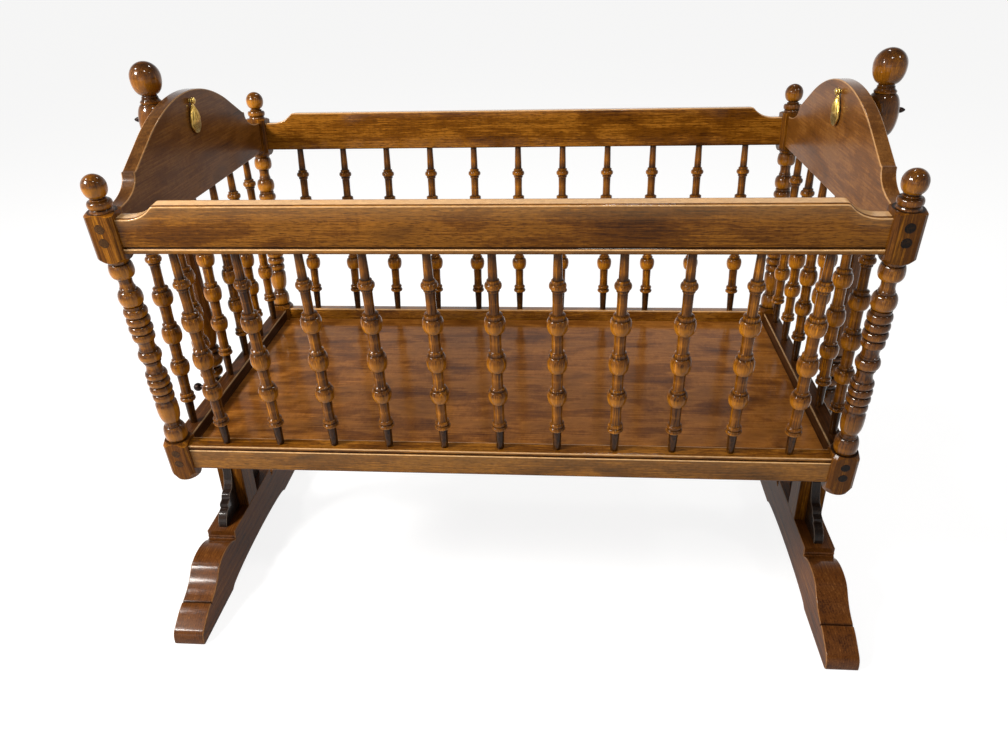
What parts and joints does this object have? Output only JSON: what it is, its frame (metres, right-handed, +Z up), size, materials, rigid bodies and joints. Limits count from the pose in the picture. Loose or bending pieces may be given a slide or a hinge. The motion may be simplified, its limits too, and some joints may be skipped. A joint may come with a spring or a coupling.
{
  "type": "swinging cradle on stand",
  "caption": "Spool-turned wooden cradle with scroll-topped ends, hung on end pivots between tall finial posts on moulded feet, so that it swings from side to side.",
  "frame": {"origin": "on the floor, in the middle of the whole cradle and stand", "axes": "+X along the cradle from the left stand end to the right one, +Y from the front to the back, +Z up"},
  "size_m": [1.1378, 0.5932, 0.8828],
  "materials": {
    "panel_wood": "glossy lacquer",
    "post_wood": "glossy lacquer",
    "rail_wood": "glossy lacquer",
    "spindle_wood": "glossy lacquer",
    "board_wood": "glossy lacquer",
    "dark_wood": "glossy lacquer",
    "plug_wood": "dark stain",
    "brass": "aged, polished on the high spots",
    "steel": "plain"
  },
  "bodies": {
    "stand": {"foot_left": "dark_wood", "foot_right": "dark_wood", "stand_post_left": "dark_wood", "stand_post_right": "dark_wood", "brackets_left": "dark_wood", "brackets_right": "dark_wood", "stretcher": "dark_wood", "stretcher_bolts": "steel", "foot_bolts": "steel", "pivot_pins": "steel", "pivot_spacers": "brass"},
    "cradle": {"end_panel_left": "panel_wood", "end_panel_right": "panel_wood", "post_front_left": "post_wood", "post_front_right": "post_wood", "post_back_left": "post_wood", "post_back_right": "post_wood", "top_rail_front": "rail_wood", "top_rail_back": "rail_wood", "bottom_rail_front": "rail_wood", "bottom_rail_back": "rail_wood", "end_rail_left": "dark_wood", "end_rail_right": "dark_wood", "platform": "board_wood", "ledger_strips": "rail_wood", "spindles_front": "spindle_wood", "spindles_back": "spindle_wood", "spindles_left": "spindle_wood", "spindles_right": "spindle_wood", "post_plugs": "plug_wood", "post_screws": "steel", "pivot_bushes": "brass", "drop_posts": "brass"},
    "drop_left": {"brass_drop_left": "brass"},
    "drop_right": {"brass_drop_right": "brass"},
    "lock_left": {"lock_pin_left": "plug_wood"},
    "lock_right": {"lock_pin_right": "plug_wood"}
  },
  "joints": [
    {"name": "cradle_swing", "type": "hinge", "parent": "stand", "child": "cradle", "pos_m": [0, 0, 0.80051], "axis": [1, 0, 0], "range_deg": [-15, 15]},
    {"name": "drop_left_swing", "type": "hinge", "parent": "cradle", "child": "drop_left", "pos_m": [-0.4644, 0, 0.82651], "axis": [1, 0, 0], "range_deg": [-60, 60]},
    {"name": "drop_right_swing", "type": "hinge", "parent": "cradle", "child": "drop_right", "pos_m": [0.4644, 0, 0.82651], "axis": [1, 0, 0], "range_deg": [-60, 60]},
    {"name": "lock_left_slide", "type": "slide", "parent": "stand", "child": "lock_left", "axis": [-1, 0, 0], "range_m": [0, 0.02]},
    {"name": "lock_right_slide", "type": "slide", "parent": "stand", "child": "lock_right", "axis": [1, 0, 0], "range_m": [0, 0.02]}
  ]
}
